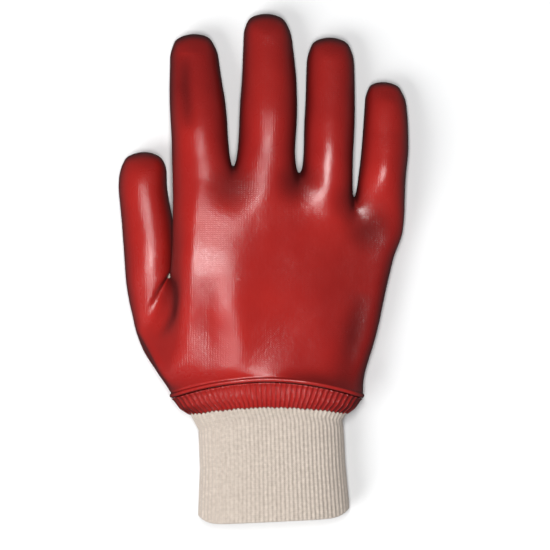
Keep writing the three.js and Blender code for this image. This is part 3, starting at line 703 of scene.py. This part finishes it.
def coating_finish(name, knit_depth):
    """Red coating: softly glossy, a little uneven. The knit below shows, that many metres deep."""
    finish, tree, shader = new_finish(name)
    place = millimetres(tree)
    drift = add(tree, "TexNoise", {"Vector": place, "Scale": 0.35, "Detail": 2.0}).outputs[1]
    drift = enlarge(tree, drift, KNIT_WANDERS)
    shifted = add(tree, "VectorMath", {0: place, 1: drift}, operation="ADD").outputs[0]
    x, y, z = add(tree, "SeparateXYZ", {0: shifted}).outputs
    level = levelness(tree)
    on_top = stitches(tree, x, y, LINER_WALE, LINER_COURSE)
    on_side = stitches(tree, z, y, LINER_WALE, LINER_COURSE)
    seen = {0: calc(tree, "POWER", level, TOP_POWER), 2: on_side, 3: on_top}
    knit = add(tree, "Mix", seen).outputs[0]
    courses = calc(tree, "SINE", calc(tree, "MULTIPLY", y, 2 * math.pi / LINER_COURSE))
    knit = calc(tree, "MULTIPLY_ADD", courses, COURSES_SHOW, knit)
    shows = blotches(tree, place, 26.0, 0.35, 1.0)
    peel = blotches(tree, place, 2.6, 0.0, 0.5, 3.0)
    relief = calc(tree, "ADD", calc(tree, "MULTIPLY", knit, shows), peel)
    tone = blotches(tree, place, 38.0, 0.0, 0.7, 3.0)
    colour = blend(tree, tone, COATING_RED, COATING_DEEP)
    # Painted shade: the red darkens down the steep sides and, by each point's share, in the hollows
    # and towards the fingertips.
    steep = spread(tree, level, 1.0, 0.2, 0.0, 1.0)
    sides = calc(tree, "POWER", steep, SIDE_SHADE_SPREAD)
    hollow_shade = add(tree, "Attribute", attribute_name="painted_shade_share").outputs["Fac"]
    thick = calc(tree, "MULTIPLY_ADD", hollow_shade, FULL_HOLLOW_SHADE, sides, clamp=True)
    dress(tree, shader, blend(tree, thick, colour, SHADE_RED), relief, knit_depth)
    rough = blotches(tree, place, 14.0, 0.2, 0.27, 4.0)
    rough = calc(tree, "MULTIPLY_ADD", steep, SIDES_ROUGH, rough)
    tree.links.new(rough, shader.inputs["Roughness"])
    shader.inputs["Specular IOR Level"].default_value = 0.5
    return finish


def set_painted_shade(piece, shares):
    """Keeps on a piece how much painted shade darkens each of its points."""
    pools = piece.data.attributes.new("painted_shade_share", "FLOAT", "POINT")
    pools.data.foreach_set("value", shares)


LINER_LIGHT = (0.72, 0.66, 0.56, 1)
LINER_DARK = (0.5, 0.44, 0.36, 1)
LINER_RELIEF = 0.0002  # metres


def liner_finish():
    """The cotton liner inside: undyed jersey, slightly fluffy."""
    finish, tree, shader = new_finish("cotton_liner")
    place = millimetres(tree)
    x, y, _ = add(tree, "SeparateXYZ", {0: place}).outputs
    knit = stitches(tree, x, y, LINER_WALE, LINER_COURSE)
    fluff = blotches(tree, place, 0.5, 0.0, 0.5, 3.0)
    colour = blend(tree, calc(tree, "MULTIPLY", knit, 0.8), LINER_DARK, LINER_LIGHT)
    dress(tree, shader, colour, calc(tree, "ADD", knit, fluff), LINER_RELIEF)
    shader.inputs["Roughness"].default_value = 0.95
    shader.inputs["Sheen Weight"].default_value = 0.3
    return finish


cage = Cage()
knuckles = build_palm(cage)
for number, finger in enumerate(FINGERS):
    build_finger(cage, finger, number, knuckles)
build_thumb(cage)
names = sorted({name for face in cage.faces for name in face})
numbers = {name: i for i, name in enumerate(names)}
cage_faces = [tuple(numbers[name] for name in face) for face in cage.faces]
cage_places = fit_cage(np.array([cage.places[name] for name in names]), cage_faces)
outer, hand_quads = smooth_surface(cage_places, cage_faces)

# the CAD hand tells where the hem lies in the shared frame
cad_hand = np.array(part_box("coated_hand")) * 1000
across = cad_hand[:, 0].mean() - (outer[:, 0].min() + outer[:, 0].max()) / 2
hem_place = np.array((across, cad_hand[1, 1] - outer[:, 1].max(), 0))

TIP_SHADE = 0.35  # painted shade, growing towards the fingertips
SWELL, SWELL_SIZE = 0.1, 26.0  # slow unevenness of the dipped wall
RIPPLE, RIPPLE_SIZE = 0.03, 8.0
HEM_EASE = 20.0  # the unevenness grows from nothing at the hem over this length
normals = normals_of(outer, hand_quads)
painted_shade_share = press_dents(outer, normals)
painted_shade_share += press_folds(outer, normals_of(outer, hand_quads))
painted_shade_share += TIP_SHADE * np.clip((outer[:, 1] - PALM_LENGTH) / FINGER_LENGTH, 0, 1)
normals = normals_of(outer, hand_quads)
uneven = SWELL * waves(outer, SWELL_SIZE, 3) + RIPPLE * waves(outer, RIPPLE_SIZE, 4)
above_hem = np.clip(outer[:, 1] / HEM_EASE, 0, 1)
outer += (uneven * above_hem)[:, None] * normals
outer[:, 2] = np.maximum(outer[:, 2], 0)

# The welt below the hem: how far out, as a share of how proud it is, and how far down.
WELT = [
    (0.25, 0.2),
    (0.75, 0.5),
    (1.0, 0.95),
    (1.0, 1.45),
    (0.75, 1.95),
    (0.25, 2.4),
    (-1.0, WELT_DROP),
]

rim = rim_of(hand_quads)
normals = normals_of(outer, hand_quads)
rim_out = ring_normals(outer[rim])
normals[rim] = rim_out
inner = outer - WALL * normals
rings = []
for out, down in WELT:
    ring = outer[rim] + rim_out * out * WELT_PROUD
    ring[:, 1] = outer[rim, 1] - down
    ring[:, 2] = np.maximum(ring[:, 2], 0)
    rings.append(ring)
count = len(outer)
hand_points = np.concatenate([outer, inner] + rings)
welt_rings = [rim] + [2 * count + k * len(rim) + np.arange(len(rim)) for k in range(len(WELT))]
welt_faces = ring_faces(welt_rings + [rim + count])
hand_faces = np.concatenate([hand_quads, hand_quads[:, ::-1] + count, welt_faces])
inside = np.repeat([0, 1, 0], [len(hand_quads), len(hand_quads), len(welt_faces)])
HAND_RELIEF = 0.00005  # metres
red_coating = coating_finish("red_coating", HAND_RELIEF)
hand = make_piece("dipped_hand", hand_points, hand_faces, [red_coating, liner_finish()], inside)
set_painted_shade(hand, np.concatenate([painted_shade_share, np.zeros(len(hand_points) - count)]))
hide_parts("coated_hand")


# The dipped band. The top of the knit wrist goes into the coating with the hand, so the coating
# fills and follows its ribs, and ends in an edge that runs further down on each rib.

KNIT_WALL = 2.2
KNIT_LENGTH = 66.9
KNIT_WIDTH = 78.0
KNIT_HEIGHT = 27.0
RIB_COUNT = 80
RIB_RELIEF = 0.5
MOUTH_TILT = 1.9  # how much higher the mouth lies at its right, and lower at its left
MOUTH_CORNER = 4.5  # how far its corners turn up
MOUTH_POWER = 10  # how close to the sides they do
KNIT_POWER = 2.3  # the curve of the knit's section
SKIN = 0.9  # the coating's depth over the ribs
SKIN_RIBS = 0.85  # how much of the ribs shows outside on it
CORNER_FILL, CORNER_SPAN = 0.6, 0.15  # how much it gathers under the welt, and how far down
EDGE_THINS, EDGE_SPAN = 0.55, 0.3  # how much it thins out above its lower edge, and how far up
BAND_SHARE = 0.185  # how far down the knit it reaches at the middle of the back
BAND_NARROWS = 0.05  # how much less it does at the sides
TOOTH = 0.4  # how far its edge runs down each rib, give or take half of that from rib to rib
CLEARANCE = 0.3
# down is a share of the way from the hem to the mouth, aside a share of the knit's width. wide
# and high go from 0 at the knit's own size to 1 at the hem's, and base is a share of the height.
KnitRow = namedtuple("KnitRow", "down aside wide high base")
KNIT_ROWS = [
    KnitRow(0.0, 0.0, 0.847, 0.6, 0.068),
    KnitRow(0.09, 0.004, 0.515, 0.41, 0.063),
    KnitRow(0.14, 0.01, 0.183, 0.27, 0.062),
    KnitRow(0.2, 0.008, 0.0, 0.08, 0.058),
    KnitRow(0.27, 0.027, -0.06, 0.12, -0.04),
    KnitRow(0.6, 0.038, -0.05, -0.03, -0.04),
    KnitRow(1.0, 0.046, 0.083, 0.08, -0.04),
]
RIB_POINTS = 8  # points round each rib
FINE_STEPS = 20000  # steps in which the section is measured
OFF_TABLE = 0.999  # share of the wall that the inside keeps over the table


def bend(value):
    """Turns a circle's cosine or sine into that of the knit's squarer section."""
    return np.sign(value) * np.abs(value) ** (2 / KNIT_POWER)


def even_angles(count):
    """Angles round the knit's section that are evenly spaced along it, turning like the CAD's."""
    fine = np.linspace(0, -2 * math.pi, FINE_STEPS + 1)
    x = bend(np.cos(fine)) * KNIT_WIDTH / 2
    z = bend(np.sin(fine)) * KNIT_HEIGHT / 2
    run = np.concatenate(([0], np.cumsum(np.hypot(np.diff(x), np.diff(z)))))
    return np.interp(np.arange(count) / count * run[-1], run, fine)


def knit_ring(down, out, relief, angles, sink=0.0):
    """Points round the knit at a share of its length. out moves them off its surface, and relief
    sets how much of the ribs shows. down may be one value or one for each point."""
    count = len(angles)
    u, v = bend(np.cos(angles)), bend(np.sin(angles))
    down = np.broadcast_to(down, count)
    rows = {key: [getattr(row, key) for row in KNIT_ROWS] for key in KnitRow._fields}

    def mix(key):
        return np.interp(down, rows["down"], rows[key])

    half_width = (KNIT_WIDTH + mix("wide") * (HEM_WIDTH - KNIT_WIDTH)) / 2
    half_height = (KNIT_HEIGHT + mix("high") * (HEM_HEIGHT - KNIT_HEIGHT)) / 2
    x = mix("aside") * KNIT_WIDTH + u * half_width
    z = mix("base") * KNIT_HEIGHT + half_height * (1 + v)
    ring = np.stack([x, np.zeros(count), z], axis=1)
    ribs = np.cos(np.arange(count) * 2 * math.pi * RIB_COUNT / count)
    ring += (out - relief * RIB_RELIEF / 2 * ribs)[:, None] * ring_normals(ring)
    top = np.where(v > 0, HEM_ARCH_BACK, HEM_ARCH_FRONT) * (1 - u * u) - WELT_DROP - CLEARANCE
    mouth = -KNIT_LENGTH + MOUTH_TILT * u + MOUTH_CORNER * np.abs(u) ** MOUTH_POWER
    ring[:, 1] = top + (mouth - top) * down - sink
    ring[:, 2] = np.maximum(ring[:, 2], -np.minimum(out, 0) * OFF_TABLE)
    return ring


def tube(rings):
    """Points and faces of a closed skin of rings, the last of which meets the first."""
    count = len(rings[0])
    numbers = np.arange(len(rings) * count).reshape(len(rings), count)
    return np.concatenate(rings), ring_faces(np.concatenate([numbers, numbers[:1]]))


def skin_depth(share):
    """Depth of the coating over the ribs, from the welt (0) to its lower edge (1)."""
    gathers = CORNER_FILL * max(0, 1 - share / CORNER_SPAN)
    thins = EDGE_THINS * max(0, share - (1 - EDGE_SPAN)) / EDGE_SPAN
    return SKIN * (1 - thins + gathers)


BAND_RINGS = 15
angles = even_angles(RIB_COUNT * RIB_POINTS)
rightward = bend(np.cos(angles))
rng = np.random.default_rng(11)
ridges = -np.cos(np.arange(len(angles)) * 2 * math.pi / RIB_POINTS)
drips = np.repeat(rng.uniform(-0.5, 0.5, RIB_COUNT), RIB_POINTS)
band_end = BAND_SHARE - BAND_NARROWS * rightward**2 + TOOTH * (ridges + drips) / KNIT_LENGTH
over_ribs, under_skin = [], []
for share in np.linspace(0, 1, BAND_RINGS):
    out = CLEARANCE + skin_depth(share)
    over_ribs.append(knit_ring(band_end * share, out, SKIN_RIBS, angles))
    under_skin.append(knit_ring(band_end * share, CLEARANCE, 1.0, angles))
band_points, band_faces = tube(over_ribs + under_skin[::-1])
one_finish = np.zeros(len(band_faces))
BAND_RELIEF = 0.00015  # metres
dipped_rib = coating_finish("dipped_rib", BAND_RELIEF)
band = make_piece("dipped_rib_band", band_points, band_faces, [dipped_rib], one_finish)

# painted shade: the band is darker round the wrist's two sides
RIGHT_SIDE_SHADE, LEFT_SIDE_SHADE, SIDE_SHADE_POWER = 0.6, 0.35, 3
to_right, to_left = np.maximum(0, rightward), np.maximum(0, -rightward)
shade = RIGHT_SIDE_SHADE * to_right**SIDE_SHADE_POWER + LEFT_SIDE_SHADE * to_left**SIDE_SHADE_POWER
set_painted_shade(band, np.tile(shade, len(band_points) // len(angles)))
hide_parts("coated_rib_band")


# The knit wrist. A tube of undyed cotton rib, knitted double and folded back on itself at the
# mouth, is sewn to the hand's hem before the dip.

OUTER_RIBS, INNER_RIBS = 0.7, 0.3  # how much of the ribs shows outside and inside
OUTER_RINGS, FOLD_RINGS, INNER_RINGS = 60, 5, 20
FOLD_RUN = 0.02  # the mouth's fold for each radian of its turn, as a share of the knit's length
KNIT_LIGHT = (0.69, 0.6, 0.52, 1)
KNIT_DARK = (0.46, 0.385, 0.325, 1)
KNIT_RELIEF = 0.00022  # metres
WALES_PER_RIB = 2
KNIT_COURSE = 1.0

rings, rows = [], []
for down in np.linspace(0, 1, OUTER_RINGS):
    rings.append(knit_ring(down, 0, OUTER_RIBS, angles))
    rows.append(down)
for turn in np.linspace(0, math.pi, FOLD_RINGS + 2)[1:-1]:
    out = -KNIT_WALL / 2 * (1 - math.cos(turn))
    sink = KNIT_WALL / 2 * math.sin(turn)
    rings.append(knit_ring(1, out, OUTER_RIBS * math.cos(turn / 2), angles, sink))
    rows.append(1 + FOLD_RUN * turn)
for down in np.linspace(1, 0, INNER_RINGS):
    rings.append(knit_ring(down, -KNIT_WALL, INNER_RIBS, angles))
    rows.append(2 - down)
cuff_points, cuff_faces = tube(rings)


def knit_finish():
    """Undyed cotton rib: plump columns of stitches, mottled with darker and lighter fibres, and
    with painted shade where the tube's sides turn down."""
    finish, tree, shader = new_finish("cotton_rib")
    place = millimetres(tree)
    on_knit = add(tree, "UVMap", uv_map="ribs").outputs[0]
    rib, along, _ = add(tree, "SeparateXYZ", {0: on_knit}).outputs
    knit = stitches(tree, rib, along, 1 / WALES_PER_RIB, KNIT_COURSE)
    fluff = blotches(tree, place, 0.35, 0.0, 0.6, 4.0)
    mottle = blotches(tree, place, 1.6, 0.0, 1.0, 4.0)
    tone = calc(tree, "MULTIPLY_ADD", knit, 0.35, calc(tree, "MULTIPLY", mottle, 0.65))
    # painted shade: the knit darkens where its sides turn down
    painted_side_shade = spread(tree, levelness(tree), 0.98, 0.5, 0.0, 0.75)
    tone = calc(tree, "SUBTRACT", tone, painted_side_shade, clamp=True)
    colour = blend(tree, tone, KNIT_DARK, KNIT_LIGHT)
    dress(tree, shader, colour, calc(tree, "ADD", knit, fluff), KNIT_RELIEF)
    shader.inputs["Roughness"].default_value = 0.95
    shader.inputs["Sheen Weight"].default_value = 0.35
    return finish


one_finish = np.zeros(len(cuff_faces))
cuff = make_piece("rib_knit_wrist", cuff_points, cuff_faces, [knit_finish()], one_finish)

# the stitches follow the ribs: u counts the ribs round the tube, v the millimetres down it
point_of_loop = np.empty(len(cuff.data.loops), dtype=np.int32)
cuff.data.loops.foreach_get("vertex_index", point_of_loop)
ribs_round = point_of_loop % len(angles) / RIB_POINTS
way_down = np.array(rows)[point_of_loop // len(angles)] * KNIT_LENGTH
layer = cuff.data.uv_layers.new(name="ribs")
layer.data.foreach_set("uv", np.stack([ribs_round, way_down], axis=1).ravel())
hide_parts("knit_cuff")


# The table: a plain pale sheet, far larger than the glove, so that its edges stay out of view. The
# glove only lies on it.

SHEET_DARK = (0.83, 0.83, 0.83, 1)
SHEET_LIGHT = (0.86, 0.86, 0.86, 1)
TABLE_HALF = 4.0  # metres


def pale_sheet():
    """A matt sheet, very slightly uneven in tone."""
    finish, tree, shader = new_finish("pale_table")
    tone = blotches(tree, millimetres(tree), 60.0, 0.0, 1.0)
    tree.links.new(blend(tree, tone, SHEET_DARK, SHEET_LIGHT), shader.inputs["Base Color"])
    shader.inputs["Roughness"].default_value = 0.9
    return finish


mesh = bpy.data.meshes.new("table")
corners = [(-TABLE_HALF, -TABLE_HALF, 0), (TABLE_HALF, -TABLE_HALF, 0)]
corners += [(TABLE_HALF, TABLE_HALF, 0), (-TABLE_HALF, TABLE_HALF, 0)]
mesh.from_pydata(corners, [], [(0, 1, 2, 3)])
mesh.materials.append(pale_sheet())
table = bpy.data.objects.new("table", mesh)
bpy.context.collection.objects.link(table)
table.visible_glossy = False  # the coating mirrors the dim room, not the pale sheet
table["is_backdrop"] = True


# The studio: a long narrow light straight overhead, whose reflection runs along the hand and its
# fingers, a broad one from the lower left that shows in no reflection, and a dim room.

ROOM_COLOUR = (0.9, 0.95, 1.0, 1)
ROOM_STRENGTH = 0.1


def soft_light(name, place, width, length, watts):
    """A rectangular light that faces the glove."""
    light = bpy.data.lights.new(name, "AREA")
    light.shape = "RECTANGLE"
    light.size, light.size_y = width, length
    light.energy = watts
    lamp = bpy.data.objects.new(name, light)
    bpy.context.collection.objects.link(lamp)
    lamp.location = place
    aim = -np.array(place, dtype=float)
    lamp.rotation_mode = "QUATERNION"
    lamp.rotation_quaternion = mathutils.Vector(aim).to_track_quat("-Z", "Y")
    return lamp


soft_light("overhead", (0.0, 0.02, 1.5), width=0.2, length=0.8, watts=18)
fill = soft_light("fill", (-1.0, -0.7, 1.0), width=1.2, length=1.2, watts=24)
fill.visible_glossy = False
world = bpy.data.worlds.new("room")
world.use_nodes = True
background = world.node_tree.nodes["Background"]
background.inputs["Color"].default_value = ROOM_COLOUR
background.inputs["Strength"].default_value = ROOM_STRENGTH
bpy.context.scene.world = world
bpy.context.scene.view_settings.view_transform = "Standard"

# The camera looks straight down from far above, so that nothing is foreshortened.
CAMERA_DISTANCE = 4.0
CAMERA_ACROSS, CAMERA_UP = 0.0061, -0.0034  # from the frame's origin to the picture's middle
FRAME_WIDTH = 0.2912  # what the picture takes in at half the glove's height
HALF_HEIGHT = 0.018
camera = bpy.data.cameras.new("camera")
camera.sensor_width = 36
camera.lens = camera.sensor_width * (CAMERA_DISTANCE - HALF_HEIGHT) / FRAME_WIDTH
camera.clip_end = 20
viewer = bpy.data.objects.new("camera", camera)
bpy.context.collection.objects.link(viewer)
viewer.location = (CAMERA_ACROSS, CAMERA_UP, CAMERA_DISTANCE)
bpy.context.scene.camera = viewer

boxes = [[list(corner) for corner in box] for box in (cad_box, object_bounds())]
